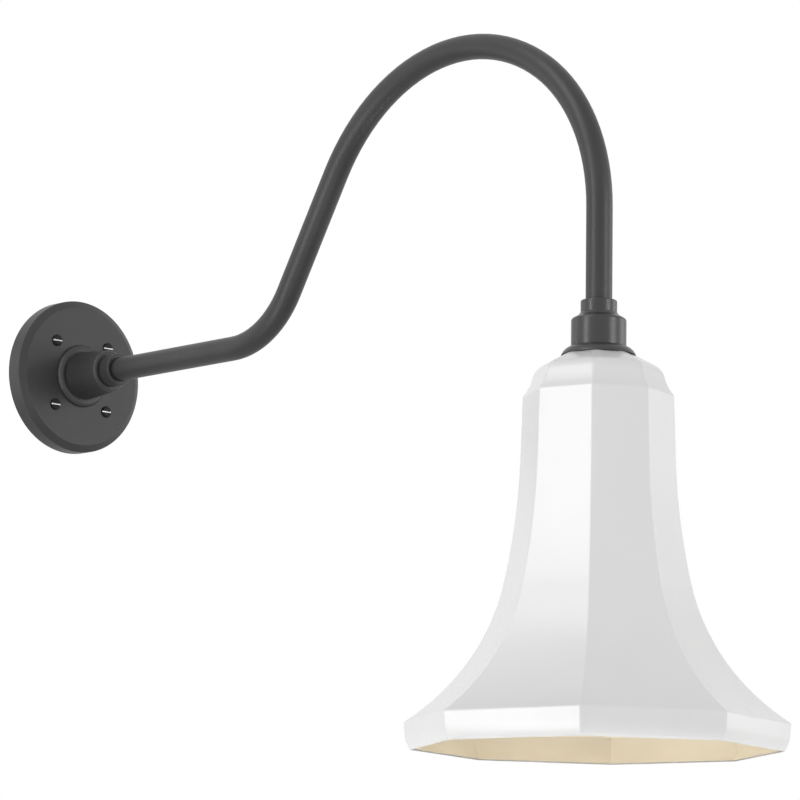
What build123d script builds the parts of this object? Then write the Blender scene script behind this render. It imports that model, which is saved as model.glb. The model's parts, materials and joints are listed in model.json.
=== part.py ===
from build123d import *
import math
import os

# Gooseneck wall light: a round plate on the wall, a bent tube arm and an eight-sided bell shade.
# The wall is the plane Y = 0, the light stands out towards -Y, and the arm lies in the plane X = 0.
# Sizes are in millimetres. Depths are measured out from the wall, and heights from the hub's axis.

# Fits between pieces, each measured on the radius or between two faces
RUN_FIT = 0.08
THREAD_FIT = 0.05
SLIP_FIT = 0.15
FACE_GAP = 0.3

# Arm: a pipe-size tube, straight out from the wall, up a slant, over an arch and straight down
TUBE_OD = 21.3
TUBE_WALL = 2.8
REACH = 677.6
RISE_BEND_R = 84.9
RISE_ANGLE = 58.7
SLANT = 112.1
ARCH_NEAR_R = 174.1
ARCH_NEAR_TURN = 94.7
ARCH_FAR_R = 155.8

# Nuts that keep each end of the arm in its casting, and the bushes that carry the flex
ARM_NUT_WALL = 2.85
ARM_NUT_T = 5.0
ARM_END_PROUD = 0.5
CABLE_R = 3.75
CABLE_PROUD = 1.4
BUSH_FLANGE_INSET = 1.25
BUSH_FLANGE_T = 1.2
BUSH_LENGTH = 9.0

# Wall plate, hollow at the back, with a bevelled front edge
PLATE_R = 70.0
PLATE_DEPTH = 18.9
BEVEL_IN = 6.2
BEVEL_BACK = 3.8
PLATE_SIDE_WALL = 3.2
PLATE_FACE_WALL = 3.5
PLATE_EDGE_R = 0.9
GASKET_T = 1.5
GASKET_INSET = 0.5

# Plate screws, slotted, at the corners of a square, in bosses that stop short of the wall
SCREW_SPACING = 59.2
SCREW_THREAD_R = 2.4
SCREW_SHANK_R = 2.6
SCREW_HEAD_OVERHANG = 2.4
SCREW_HEAD_H = 2.8
SCREW_HEAD_ROUND = 1.3
SCREW_IN_WALL = 22.0
SCREW_BOSS_WALL = 3.2
SCREW_BOSS_BACK = 4.5
HEAD_RECESS = 0.6
HEAD_RECESS_GAP = 0.6
SLOT_WIDTH = 1.4
SLOT_DEPTH = 1.3

# Castings at both ends of the arm: body and a threaded neck for a collar. The hub's body tapers to a flat front,
# and the coupling's is straight, with a sloped shoulder
NUT_SPACE_GAP = 1.0
BODY_WALL = 5.5
NECK_WALL = 1.75
SHOULDER_H = 5.7
SHOULDER_RISE = 3.3
SHOULDER_LEDGE = 1.9
SHOULDER_ROUND = 2.4
SHOULDER_COVE = 2.0
HUB_BODY_H = 42.7
HUB_TAPER = 3.2
HUB_FRONT_ROUND = 3.0
HUB_NUT_SPACE_H = 15.0
HUB_COLLAR_H = 13.2
COUPLING_BODY_H = 22.0
COUPLING_COLLAR_H = 9.8

# Bead round the foot of the wall hub, its threaded tail through the plate, and the tail's lock nut
BEAD_OUT = 6.6
BEAD_H = 4.8
BEAD_FLAT = 0.4
TAIL_WALL = 2.4
TAIL_WIRE_GAP = 1.8
HUB_NUT_WALL = 4.0
HUB_NUT_T = 5.0

# Collars that screw on the necks and press a soft ring round the tube
COLLAR_WALL = 2.2
COLLAR_LIP_T = 1.7
COLLAR_EDGE_R = 1.2
COLLAR_BORE_GAP = 0.4
SEAL_T = 1.8

# Socketed set screws in the sides of the two castings
SET_SCREW_R = 2.5
SET_SCREW_SINK = 0.6
SET_SOCKET_FLATS = 2.5
SET_SOCKET_DEPTH = 2.2

# Shade end: height of the coupling's foot, the domed cap under it and the hollow stem through the shade
COUPLING_FOOT = -53.0
CAP_OUT = 7.8
CAP_H = 7.1
CAP_BULGE = 0.9
CAP_GROOVE_INSET = 2.9
CAP_GROOVE_WIDTH = 4.0
CAP_GROOVE_DEPTH = 1.5
STEM_R = 12.0
STEM_BORE_R = 5.0
STEM_HEAD_WALL = 3.4
STEM_HEAD_GAP = 0.7
STEM_FLOOR_T = 3.0
STEM_CABLE_GAP = 1.6
STEM_LENGTH = 28.0

# Shade: an eight-sided bell, as steps out from the axis and down from the crown along the middle of a side
SHADE_SIDES = 8
SHADE_WALL = 1.6
SHADE_TURN = -5.6
CROWN_HALF = 27.6
DOME_SPREAD = 19.7
DOME_FALL = 11.2
DOME_ROUND = 13.0
COVE_SPREAD = 3.5
COVE_FALL = 14.2
COVE_ROUND = 5.0
SHOULDER_SPREAD = 4.95
SHOULDER_FALL = 7.4
RIDGE_ROUND = 1.6
BELL_STRAIGHT = 50.6
BELL_LEAN = 1.6
BELL_UPPER_R = 572.0
BELL_UPPER_TURN = 10.1
BELL_SPREAD = 83.4
BELL_FALL = 208.3
BAND_ROUND = 2.2
BAND_STRAIGHT = 6.0
BAND_TAPER = 0.4
RIM_FALL = 16.0
RIM_INSET = 4.6
RIM_BULGE = 0.9

# Washer and nut that clamp the shade to the stem
WASHER_INSET = 4.6
WASHER_T = 1.5
SHADE_NUT_WALL = 5.0
SHADE_NUT_T = 6.0

# Lampholder: metal cap on the stem and a ceramic body
HOLDER_HUB_WALL = 2.2
HOLDER_HUB_H = 10.0
HOLDER_CAP_LIP = 0.6
HOLDER_CAP_T = 2.5
HOLDER_CAP_ROUND = 1.0
HOLDER_WALL = 2.1
HOLDER_EDGE_R = 2.0
WIRING_GAP = 1.4
WIRING_DEPTH = 16.5
HOLDER_FLOOR_T = 4.5
MOUTH_STEP = 1.6
MOUTH_H = 6.0
HOLDER_SCREW_R = 1.9
HOLDER_SCREW_LENGTH = 22.0
HOLDER_SCREW_HEAD_R = 3.4
HOLDER_SCREW_HEAD_H = 2.4
HOLDER_SCREW_HEAD_GAP = 0.4

# Screw shell for the lamp, its two rivets and the sprung centre contact
SHELL_BORE_R = 13.3
SHELL_NECK_STEP = 1.8
SHELL_T = 0.6
SHELL_NECK_H = 10.4
SHELL_BARREL_H = 22.0
SHELL_FLANGE_WIDTH = 4.5
RIVET_R = 1.2
RIVET_HEAD_R = 2.2
RIVET_HEAD_T = 1.0
CONTACT_R = 5.0
CONTACT_T = 2.0
CONTACT_ROUND = 0.8
CONTACT_STEM_R = 2.0
CONTACT_STOP_R = 3.2
CONTACT_STOP_T = 1.0
SPRING_LENGTH = 6.0
SPRING_MEAN_R = 3.4
SPRING_WIRE_R = 0.3
SPRING_TURNS = 3
SPRING_END_GAP = 0.12

# Terminal posts in the lampholder and the strap from the live post to the contact
POST_SIDE = 6.0
POST_HOLE_DEPTH = 4.0
POST_SCREW_R = 1.2
POST_SCREW_HEAD_R = 2.0
POST_SCREW_HEAD_T = 1.4
STRAP_T = 0.5
STRAP_WIDTH = 6.8

# Leads: insulated cores from the flex to the terminals
CORE_R = 1.2
CORE_OFFSET = 1.9
CORE_HOLE_GAP = 0.2
CORE_GRIP = 3.0
BEND_SHARE = 0.45
LEAD_OUT_BELOW_STEM = 1.5
LEAD_DOWN_ABOVE_POST = 4.0
WIRE_DEPTH = 6.0
WALL_LEAD_DROP = 22.0

# Terminal block behind the plate, with a pole for each conductor
POLES = 3
POLE_PITCH = 10.0
BLOCK_HEIGHT = 16.0
BLOCK_NUT_GAP = 7.4
BLOCK_BACK = 2.0
BLOCK_T = 9.0
BLOCK_END = 6.0
CLAMP_SCREW_R = 1.9
CLAMP_SCREW_INSET = 4.0
CLAMP_TIP_GAP = 0.2
BLOCK_SCREW_R = 1.5
BLOCK_SCREW_HEAD_R = 2.8
BLOCK_SCREW_HEAD_T = 2.0
BLOCK_SCREW_GRIP = 2.5
BLOCK_BOSS_R = 3.2

# Earth screw on the plate and the ring terminal under its head
EARTH_NUT_GAP = 13.4
EARTH_BOSS_R = 4.5
EARTH_RING_R = 4.2
EARTH_RING_T = 0.8
EARTH_SCREW_R = 1.9
EARTH_HEAD_R = 3.6
EARTH_HEAD_T = 2.4
EARTH_SCREW_GRIP = 7.0
BARREL_WALL = 0.8
BARREL_LENGTH = 5.0
TONGUE_WIDTH = 3.0
EARTH_LEAD_RISE = 24.0
EARTH_LEAD_OUT = 20.0

# Arm and castings: sizes that follow from those above
TUBE_R = TUBE_OD / 2
TUBE_BORE_R = TUBE_R - TUBE_WALL
ARM_BORE_R = TUBE_R + RUN_FIT
ARM_HOLE_R = TUBE_R + COLLAR_BORE_GAP
ARCH_FAR_TURN = 90 + RISE_ANGLE - ARCH_NEAR_TURN
ARM_NUT_FLATS = TUBE_OD + 2 * ARM_NUT_WALL
BUSH_FLANGE_R = TUBE_R - BUSH_FLANGE_INSET
NUT_SPACE_R = ARM_NUT_FLATS / math.sqrt(3) + NUT_SPACE_GAP
BODY_R = NUT_SPACE_R + BODY_WALL
NECK_R = TUBE_R + NECK_WALL
COLLAR_R = NECK_R + COLLAR_WALL
SHOULDER_IN_R = COLLAR_R + SHOULDER_LEDGE
BEAD_R = BODY_R + BEAD_OUT
BEAD_ROUND = min(BEAD_OUT, BEAD_H) - BEAD_FLAT
HUB_FRONT_R = BODY_R - HUB_TAPER
TAIL_R = NUT_SPACE_R + TAIL_WALL
HUB_NUT_FLATS = 2 * (TAIL_R + HUB_NUT_WALL)
HUB_NUT_CORNER_R = HUB_NUT_FLATS / math.sqrt(3)
STEM_CUP_DEPTH = STEM_FLOOR_T + STEM_CABLE_GAP
ARM_END_STACK = CABLE_PROUD + BUSH_FLANGE_T + ARM_END_PROUD + ARM_NUT_T
COUPLING_NUT_SPACE_H = STEM_CUP_DEPTH + ARM_END_STACK + FACE_GAP
STEM_HEAD_H = COUPLING_NUT_SPACE_H - FACE_GAP - ARM_NUT_T - STEM_HEAD_GAP
HUB_SET_HEIGHT = (HUB_NUT_SPACE_H + HUB_BODY_H) / 2
HUB_SET_R = BODY_R - HUB_TAPER * (HUB_SET_HEIGHT - BEAD_H) / (HUB_BODY_H - BEAD_H)
COUPLING_SET_HEIGHT = (COUPLING_NUT_SPACE_H + COUPLING_BODY_H) / 2
COUPLING_SEAT = COUPLING_BODY_H + SHOULDER_H
CAP_R = BODY_R + CAP_OUT
CAP_GROOVE_R = CAP_R - CAP_GROOVE_INSET

# Wall plate and what stands behind it: sizes that follow
PLATE_BACK = GASKET_T
PLATE_INSIDE = PLATE_DEPTH - PLATE_FACE_WALL
PLATE_INNER_R = PLATE_R - PLATE_SIDE_WALL
SCREW_HEAD_R = SCREW_SHANK_R + SCREW_HEAD_OVERHANG
SCREW_BOSS_R = SCREW_SHANK_R + SCREW_BOSS_WALL
TAIL_END = WIRE_DEPTH + CORE_R + TAIL_WIRE_GAP
BLOCK_TOP = -(HUB_NUT_CORNER_R + BLOCK_NUT_GAP)
EARTH_OFFSET = HUB_NUT_CORNER_R + EARTH_NUT_GAP
BARREL_R = CORE_R + BARREL_WALL
CORE_HOLE_R = CORE_R + CORE_HOLE_GAP

# Shade's half widths and drops below its crown, and the sizes of what clamps it
DOME_HALF = CROWN_HALF + DOME_SPREAD
COVE_HALF = DOME_HALF + COVE_SPREAD
SHOULDER_HALF = COVE_HALF + SHOULDER_SPREAD
STRAIGHT_HALF = SHOULDER_HALF + BELL_STRAIGHT * math.tan(math.radians(BELL_LEAN))
BAND_HALF = STRAIGHT_HALF + BELL_SPREAD
COVE_DROP = DOME_FALL + COVE_FALL
SHOULDER_DROP = COVE_DROP + SHOULDER_FALL
STRAIGHT_DROP = SHOULDER_DROP + BELL_STRAIGHT
BAND_DROP = STRAIGHT_DROP + BELL_FALL
RIM_DROP = BAND_DROP + BAND_STRAIGHT + RIM_FALL
WASHER_R = CROWN_HALF - WASHER_INSET
SHADE_NUT_FLATS = 2 * (STEM_R + SHADE_NUT_WALL)

# Lampholder's radii, from its shell outwards
SHELL_NECK_R = SHELL_BORE_R - SHELL_NECK_STEP
SHELL_FLANGE_R = SHELL_NECK_R - SHELL_FLANGE_WIDTH
POST_OFFSET = (SHELL_NECK_R + SHELL_FLANGE_R) / 2
WIRING_R = math.hypot(POST_OFFSET + POST_SIDE / 2, POST_SIDE / 2) + WIRING_GAP
HOLDER_HUB_R = STEM_R + HOLDER_HUB_WALL
SCREW_PAST_WIRING = WIRING_R + HOLDER_WALL + HOLDER_SCREW_R
SCREW_PAST_HUB = HOLDER_HUB_R + HOLDER_SCREW_HEAD_GAP + HOLDER_SCREW_HEAD_R
HOLDER_SCREW_OFFSET = max(SCREW_PAST_WIRING, SCREW_PAST_HUB)
HOLDER_R = HOLDER_SCREW_OFFSET + HOLDER_SCREW_R + HOLDER_WALL
HOLDER_CAP_R = HOLDER_R + HOLDER_CAP_LIP
MOUTH_R = SHELL_BORE_R + SHELL_T + MOUTH_STEP

# Stations out from the wall and up the shade's axis
CAP_FOOT = COUPLING_FOOT - CAP_H
WASHER_TOP = CAP_FOOT - SHADE_WALL
SHADE_NUT_TOP = WASHER_TOP - WASHER_T
HOLDER_HUB_TOP = SHADE_NUT_TOP - SHADE_NUT_T
HOLDER_CAP_TOP = HOLDER_HUB_TOP - HOLDER_HUB_H
HOLDER_TOP = HOLDER_CAP_TOP - HOLDER_CAP_T
HOLDER_FLOOR = HOLDER_TOP - WIRING_DEPTH
LAMP_TOP = HOLDER_FLOOR - HOLDER_FLOOR_T
BARREL_TOP = LAMP_TOP - SHELL_NECK_H
BARREL_FOOT = BARREL_TOP - SHELL_BARREL_H
HOLDER_FOOT = BARREL_FOOT - MOUTH_H
CONTACT_TOP = LAMP_TOP - SPRING_LENGTH
STRAP_TOP = HOLDER_FLOOR + STRAP_T
HUB_NUT_SPACE_TOP = PLATE_DEPTH + HUB_NUT_SPACE_H
ARM_WALL_END = HUB_NUT_SPACE_TOP - FACE_GAP - ARM_NUT_T - ARM_END_PROUD
COUPLING_NUT_SPACE_TOP = COUPLING_FOOT + COUPLING_NUT_SPACE_H
ARM_SHADE_END = COUPLING_NUT_SPACE_TOP - FACE_GAP - ARM_NUT_T - ARM_END_PROUD
CABLE_WALL_END = ARM_WALL_END - BUSH_FLANGE_T - CABLE_PROUD
CABLE_SHADE_END = ARM_SHADE_END - BUSH_FLANGE_T - CABLE_PROUD
STEM_FOOT = COUPLING_FOOT - STEM_LENGTH

# Local frames: one on the wall with its axis pointing outwards, one on the shade's upright axis
WALL = Plane(origin=(0, 0, 0), x_dir=(1, 0, 0), z_dir=(0, -1, 0))
SHADE_AXIS = Pos(0, -REACH, 0)
ARM_SIDE = Plane(origin=(0, 0, 0), x_dir=(0, -1, 0), z_dir=(-1, 0, 0))


def rod(radius, low, high):
    """Plain round bar between two stations on the local axis."""
    return Pos(0, 0, low) * extrude(Circle(radius), high - low)


def ring(outer_r, inner_r, low, high):
    """Plain round ring between two stations on the local axis."""
    return Pos(0, 0, low) * extrude(Circle(outer_r) - Circle(inner_r), high - low)


def block(width, depth, low, high):
    """Rectangular block, centred on the local axis, between two stations."""
    return Pos(0, 0, low) * extrude(Rectangle(width, depth), high - low)


def hexagon(across_flats, low, high):
    """Six-sided bar between two stations on the local axis."""
    outline = RegularPolygon(radius=across_flats / 2, side_count=6, major_radius=False)
    return Pos(0, 0, low) * extrude(outline, high - low)


def hex_nut(across_flats, bore_r, low, high):
    """Six-sided nut with a plain bore for its thread."""
    return hexagon(across_flats, low, high) - rod(bore_r, low, high)


def turned(*corners):
    """Turned piece: each corner is a radius, a station and the size of its rounding."""
    points = [(radius, station) for radius, station, rounding in corners]
    roundings = [rounding for radius, station, rounding in corners]
    outline = FilletPolyline(*points, radius=roundings, close=True)
    return revolve(Plane.XZ * make_face(outline), Axis.Z)


def along_x(solid):
    """Lay a piece made along the local axis on the local X direction."""
    return Rot(0, 90, 0) * solid


def along_y(solid):
    """Lay a piece made along the local axis on the local Y direction."""
    return Rot(-90, 0, 0) * solid


def screw_spots():
    """Centres of the four plate screws, across and up."""
    half = SCREW_SPACING / 2
    return [(x, y) for x in (-half, half) for y in (-half, half)]


def pole_spots():
    """Centres of the terminal block's poles, across."""
    return [POLE_PITCH * (pole - (POLES - 1) / 2) for pole in range(POLES)]


def block_screw_spots():
    """Centres of the block's two fixing screws, between the poles."""
    middle = BLOCK_TOP - BLOCK_HEIGHT / 2
    return [(x, middle) for x in (-POLE_PITCH / 2, POLE_PITCH / 2)]


def arm_path(start_depth, end_height):
    """Centre line of the arm from a depth at the wall to a height at the shade."""
    rise = math.radians(RISE_ANGLE)
    over = math.radians(RISE_ANGLE - ARCH_NEAR_TURN)
    bend_out = RISE_BEND_R * math.sin(rise)
    arch_out = ARCH_NEAR_R * (math.sin(rise) - math.sin(over)) + ARCH_FAR_R * (math.sin(over) + 1)
    run_end = REACH - bend_out - SLANT * math.cos(rise) - arch_out
    run = Line((start_depth, 0), (run_end, 0))
    bend = JernArc(run @ 1, run % 1, RISE_BEND_R, RISE_ANGLE)
    incline = Line(bend @ 1, bend @ 1 + (bend % 1) * SLANT)
    near = JernArc(incline @ 1, incline % 1, ARCH_NEAR_R, -ARCH_NEAR_TURN)
    far = JernArc(near @ 1, near % 1, ARCH_FAR_R, -ARCH_FAR_TURN)
    drop = Line(far @ 1, (REACH, end_height))
    return ARM_SIDE * Wire([run, bend, incline, near, far, drop])


def swept(section, path, name):
    """Section carried along a path, with its volume compared with area times length."""
    start = Plane(origin=path @ 0, z_dir=path % 0)
    solid = sweep(start * section, path=path)
    print(f"{name}: length {path.length:.1f}, volume ratio {solid.volume / section.area / path.length:.4f}")
    return solid


def bend_radii(points):
    """Largest bend at each inner point of a route that its two runs have room for."""
    radii = []
    for before, here, after in zip(points, points[1:], points[2:]):
        run_in = Vector(here) - Vector(before)
        run_out = Vector(after) - Vector(here)
        half_turn = math.radians(run_in.get_angle(run_out) / 2)
        radii.append(BEND_SHARE * min(run_in.length, run_out.length) / math.tan(half_turn))
    return radii


def lead(points, name):
    """Insulated core along a route of straight runs and tangent bends."""
    radii = bend_radii(points)
    print(f"{name}: bend radii", [round(radius, 1) for radius in radii])
    return swept(Circle(CORE_R), FilletPolyline(*points, radius=radii).wire(), name)


def make_wall_plate():
    """Cast plate with a bevelled edge, screw bosses, and bosses for the block and the earth screw."""
    face_r = PLATE_R - BEVEL_IN
    side_depth = PLATE_DEPTH - BEVEL_BACK
    inner_face_r = face_r - PLATE_SIDE_WALL
    plate = turned(
        (0, PLATE_DEPTH, 0),
        (face_r, PLATE_DEPTH, PLATE_EDGE_R),
        (PLATE_R, side_depth, PLATE_EDGE_R),
        (PLATE_R, PLATE_BACK, 0),
        (PLATE_INNER_R, PLATE_BACK, 0),
        (PLATE_INNER_R, side_depth - PLATE_SIDE_WALL, 0),
        (inner_face_r, PLATE_INSIDE, 0),
        (0, PLATE_INSIDE, 0),
    )
    for spot in screw_spots():
        plate += Pos(*spot, 0) * rod(SCREW_BOSS_R, SCREW_BOSS_BACK, PLATE_INSIDE)
    for spot in block_screw_spots():
        plate += Pos(*spot, 0) * rod(BLOCK_BOSS_R, BLOCK_BACK + BLOCK_T, PLATE_INSIDE)
    plate += Pos(EARTH_OFFSET, 0, 0) * rod(EARTH_BOSS_R, WIRE_DEPTH + EARTH_RING_T / 2, PLATE_INSIDE)
    plate -= rod(TAIL_R + SLIP_FIT, PLATE_INSIDE, PLATE_DEPTH)
    for spot in screw_spots():
        plate -= Pos(*spot, 0) * rod(SCREW_SHANK_R + SLIP_FIT, SCREW_BOSS_BACK, PLATE_DEPTH)
        recess_r = SCREW_HEAD_R + HEAD_RECESS_GAP
        plate -= Pos(*spot, 0) * rod(recess_r, PLATE_DEPTH - HEAD_RECESS, PLATE_DEPTH)
    for spot in block_screw_spots():
        bottom = BLOCK_BACK + BLOCK_T + BLOCK_SCREW_GRIP + FACE_GAP
        plate -= Pos(*spot, 0) * rod(BLOCK_SCREW_R + THREAD_FIT, BLOCK_BACK + BLOCK_T, bottom)
    earth_face = WIRE_DEPTH + EARTH_RING_T / 2
    earth_hole = rod(EARTH_SCREW_R + THREAD_FIT, earth_face, earth_face + EARTH_SCREW_GRIP + FACE_GAP)
    plate -= Pos(EARTH_OFFSET, 0, 0) * earth_hole
    return WALL * plate


def make_wall_gasket():
    """Foam ring between the plate's back edge and the wall."""
    return WALL * ring(PLATE_R - GASKET_INSET, PLATE_INNER_R, 0, GASKET_T)


def make_plate_screws():
    """Four slotted round-head screws: plain shanks in the plate, threaded parts in the wall."""
    seat = PLATE_DEPTH - HEAD_RECESS
    top = seat + SCREW_HEAD_H
    screw = turned(
        (0, -SCREW_IN_WALL, 0),
        (SCREW_THREAD_R, -SCREW_IN_WALL, 0),
        (SCREW_THREAD_R, 0, 0),
        (SCREW_SHANK_R, 0, 0),
        (SCREW_SHANK_R, seat, 0),
        (SCREW_HEAD_R, seat, 0),
        (SCREW_HEAD_R, top, SCREW_HEAD_ROUND),
        (0, top, 0),
    )
    screw -= block(2 * SCREW_HEAD_R, SLOT_WIDTH, top - SLOT_DEPTH, top)
    return Compound([WALL * Pos(*spot, 0) * screw for spot in screw_spots()])


def casting_neck(seat, collar_h, nut_space_h):
    """Corners shared by both castings, from the collar's seat over the neck and down the bores."""
    neck_top = seat + collar_h - COLLAR_LIP_T - SEAL_T
    return [
        (NECK_R, seat, 0),
        (NECK_R, neck_top, 0),
        (ARM_BORE_R, neck_top, 0),
        (ARM_BORE_R, nut_space_h, 0),
        (NUT_SPACE_R, nut_space_h, 0),
    ]


def set_screw_hole(height):
    """Threaded hole across one wall of a casting, along the local X direction."""
    return Pos(0, 0, height) * along_x(rod(SET_SCREW_R + THREAD_FIT, 0, BODY_R))


def make_set_screw(height, surface_r):
    """Headless screw with a six-sided socket, sunk in a casting's side, its tip just clear of the tube."""
    tip = TUBE_R + FACE_GAP
    top = surface_r - SET_SCREW_SINK
    screw = rod(SET_SCREW_R, tip, top) - hexagon(SET_SOCKET_FLATS, top - SET_SOCKET_DEPTH, top)
    return Pos(0, 0, height) * along_x(screw)


def make_collar(seat, collar_h):
    """Cap ring screwed on a casting's neck, with a lip over the soft ring."""
    top = seat + collar_h
    bore_r = NECK_R + THREAD_FIT
    return turned(
        (bore_r, seat, 0),
        (COLLAR_R, seat, 0),
        (COLLAR_R, top, COLLAR_EDGE_R),
        (ARM_HOLE_R, top, 0),
        (ARM_HOLE_R, top - COLLAR_LIP_T, 0),
        (bore_r, top - COLLAR_LIP_T, 0),
    )


def make_seal(seat, collar_h):
    """Soft ring between a casting's neck and the collar's lip."""
    top = seat + collar_h - COLLAR_LIP_T
    return ring(NECK_R, TUBE_R + FACE_GAP, top - SEAL_T, top)


HUB_FACE = WALL * Pos(0, 0, PLATE_DEPTH)
COUPLING = SHADE_AXIS * Pos(0, 0, COUPLING_FOOT) * Rot(0, 0, 90)


def make_wall_hub():
    """Casting on the plate: bead, tapered body and neck, with a tail through the plate."""
    tail = TAIL_END - PLATE_DEPTH
    hub = turned(
        (BEAD_R, 0, 0),
        (BEAD_R, BEAD_H, BEAD_ROUND),
        (BODY_R, BEAD_H, 0),
        (HUB_FRONT_R, HUB_BODY_H, HUB_FRONT_ROUND),
        *casting_neck(HUB_BODY_H, HUB_COLLAR_H, HUB_NUT_SPACE_H),
        (NUT_SPACE_R, tail, 0),
        (TAIL_R, tail, 0),
        (TAIL_R, 0, 0),
    )
    return HUB_FACE * (hub - set_screw_hole(HUB_SET_HEIGHT))


def make_hub_lock_nut():
    """Thin nut on the hub's tail, behind the plate's face."""
    return WALL * hex_nut(HUB_NUT_FLATS, TAIL_R + THREAD_FIT, PLATE_INSIDE - HUB_NUT_T, PLATE_INSIDE)


def make_arm_tube():
    """Bent tube, open at both ends."""
    section = Circle(TUBE_R) - Circle(TUBE_BORE_R)
    return swept(section, arm_path(ARM_WALL_END, ARM_SHADE_END), "arm_tube")


def make_arm_nut(end):
    """Nut on the threaded end of the arm, given the station of that end."""
    low = end + ARM_END_PROUD
    return hex_nut(ARM_NUT_FLATS, TUBE_R + THREAD_FIT, low, low + ARM_NUT_T)


def make_cable_bush(end):
    """Flanged bush in the open end of the tube, round the flex."""
    return turned(
        (CABLE_R + SLIP_FIT, end - BUSH_FLANGE_T, 0),
        (BUSH_FLANGE_R, end - BUSH_FLANGE_T, 0),
        (BUSH_FLANGE_R, end, 0),
        (TUBE_BORE_R - SLIP_FIT, end, 0),
        (TUBE_BORE_R - SLIP_FIT, end + BUSH_LENGTH, 0),
        (CABLE_R + SLIP_FIT, end + BUSH_LENGTH, 0),
    )


def make_supply_flex():
    """Round sheathed flex through the whole arm."""
    return swept(Circle(CABLE_R), arm_path(CABLE_WALL_END, CABLE_SHADE_END), "supply_flex")


def make_shade_coupling():
    """Casting on the arm's lower end: body, shoulder and neck, open below for the stem's head."""
    body = turned(
        (NUT_SPACE_R, 0, 0),
        (BODY_R, 0, 0),
        (BODY_R, COUPLING_BODY_H, SHOULDER_ROUND),
        (SHOULDER_IN_R, COUPLING_BODY_H + SHOULDER_RISE, SHOULDER_COVE),
        (COLLAR_R, COUPLING_SEAT, 0),
        *casting_neck(COUPLING_SEAT, COUPLING_COLLAR_H, COUPLING_NUT_SPACE_H),
    )
    return COUPLING * (body - set_screw_hole(COUPLING_SET_HEIGHT))


def make_stem():
    """Hollow stem: a cup that screws into the coupling and a threaded tail through the shade."""
    head_r = NUT_SPACE_R - THREAD_FIT
    cup_r = head_r - STEM_HEAD_WALL
    head_top = COUPLING_FOOT + STEM_HEAD_H
    return SHADE_AXIS * turned(
        (STEM_BORE_R, STEM_FOOT, 0),
        (STEM_R, STEM_FOOT, 0),
        (STEM_R, COUPLING_FOOT, 0),
        (head_r, COUPLING_FOOT, 0),
        (head_r, head_top, 0),
        (cup_r, head_top, 0),
        (cup_r, COUPLING_FOOT + STEM_FLOOR_T, 0),
        (STEM_BORE_R, COUPLING_FOOT + STEM_FLOOR_T, 0),
    )


def make_shade_cap():
    """Domed cap between the coupling and the shade, with a groove for its gasket."""
    bore_r = STEM_R + SLIP_FIT
    crest = ((BODY_R + CAP_R) / 2 + CAP_BULGE, (COUPLING_FOOT + CAP_FOOT) / 2 + CAP_BULGE)
    outline = [
        Line((bore_r, CAP_FOOT), (bore_r, COUPLING_FOOT)),
        Line((bore_r, COUPLING_FOOT), (BODY_R, COUPLING_FOOT)),
        ThreePointArc((BODY_R, COUPLING_FOOT), crest, (CAP_R, CAP_FOOT)),
        Line((CAP_R, CAP_FOOT), (bore_r, CAP_FOOT)),
    ]
    cap = revolve(Plane.XZ * make_face(outline), Axis.Z)
    inner_r = CAP_GROOVE_R - CAP_GROOVE_WIDTH
    cap -= ring(CAP_GROOVE_R, inner_r, CAP_FOOT, CAP_FOOT + CAP_GROOVE_DEPTH)
    return SHADE_AXIS * cap


def make_cap_gasket():
    """Soft ring in the cap's groove, against the shade."""
    inner_r = CAP_GROOVE_R - CAP_GROOVE_WIDTH + SLIP_FIT
    return SHADE_AXIS * ring(CAP_GROOVE_R - SLIP_FIT, inner_r, CAP_FOOT, CAP_FOOT + CAP_GROOVE_DEPTH)


def shade_half(overrun):
    """Half outline of the bell, from the crown's middle to the rim and, by the overrun, past it."""
    top = CAP_FOOT
    crown = FilletPolyline(
        (0, top),
        (CROWN_HALF, top),
        (DOME_HALF, top - DOME_FALL),
        (COVE_HALF, top - COVE_DROP),
        (SHOULDER_HALF, top - SHOULDER_DROP),
        (STRAIGHT_HALF, top - STRAIGHT_DROP),
        radius=[0, DOME_ROUND, COVE_ROUND, RIDGE_ROUND],
    )
    upper = JernArc(crown @ 1, crown % 1, BELL_UPPER_R, BELL_UPPER_TURN)
    band_top = Vector(BAND_HALF, top - BAND_DROP)
    lower = TangentArc(upper @ 1, band_top, tangent=upper % 1)
    rim_top = band_top - Vector(BAND_TAPER, BAND_STRAIGHT)
    rim_end = rim_top - Vector(RIM_INSET, RIM_FALL)
    rim_middle = (rim_top + rim_end) * 0.5 + Vector(RIM_BULGE, -RIM_BULGE)
    rim = ThreePointArc(rim_top, rim_middle, rim_end)
    past = rim_end + (rim % 1) * overrun
    edges = [*crown.edges(), upper, lower, Line(band_top, rim_top), rim]
    if overrun:
        edges.append(Line(rim_end, past))
    edges.append(Line(past, (0, past.Y)))
    edges.append(Line((0, past.Y), (0, top)))
    half = make_face(edges)
    band_corner = half.vertices().sort_by_distance(band_top)[0]
    return fillet(band_corner, BAND_ROUND)


def eight_sided(half):
    """Solid whose every flat side follows the given half outline."""
    outline = half + mirror(half, about=Plane.YZ)
    slab = extrude(Plane.XZ * outline, 2 * BAND_HALF, both=True)
    solid = slab
    for side in range(1, SHADE_SIDES // 2):
        solid = solid & Rot(0, 0, 360 / SHADE_SIDES * side) * slab
    return Rot(0, 0, SHADE_TURN + 180 / SHADE_SIDES) * solid


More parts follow.
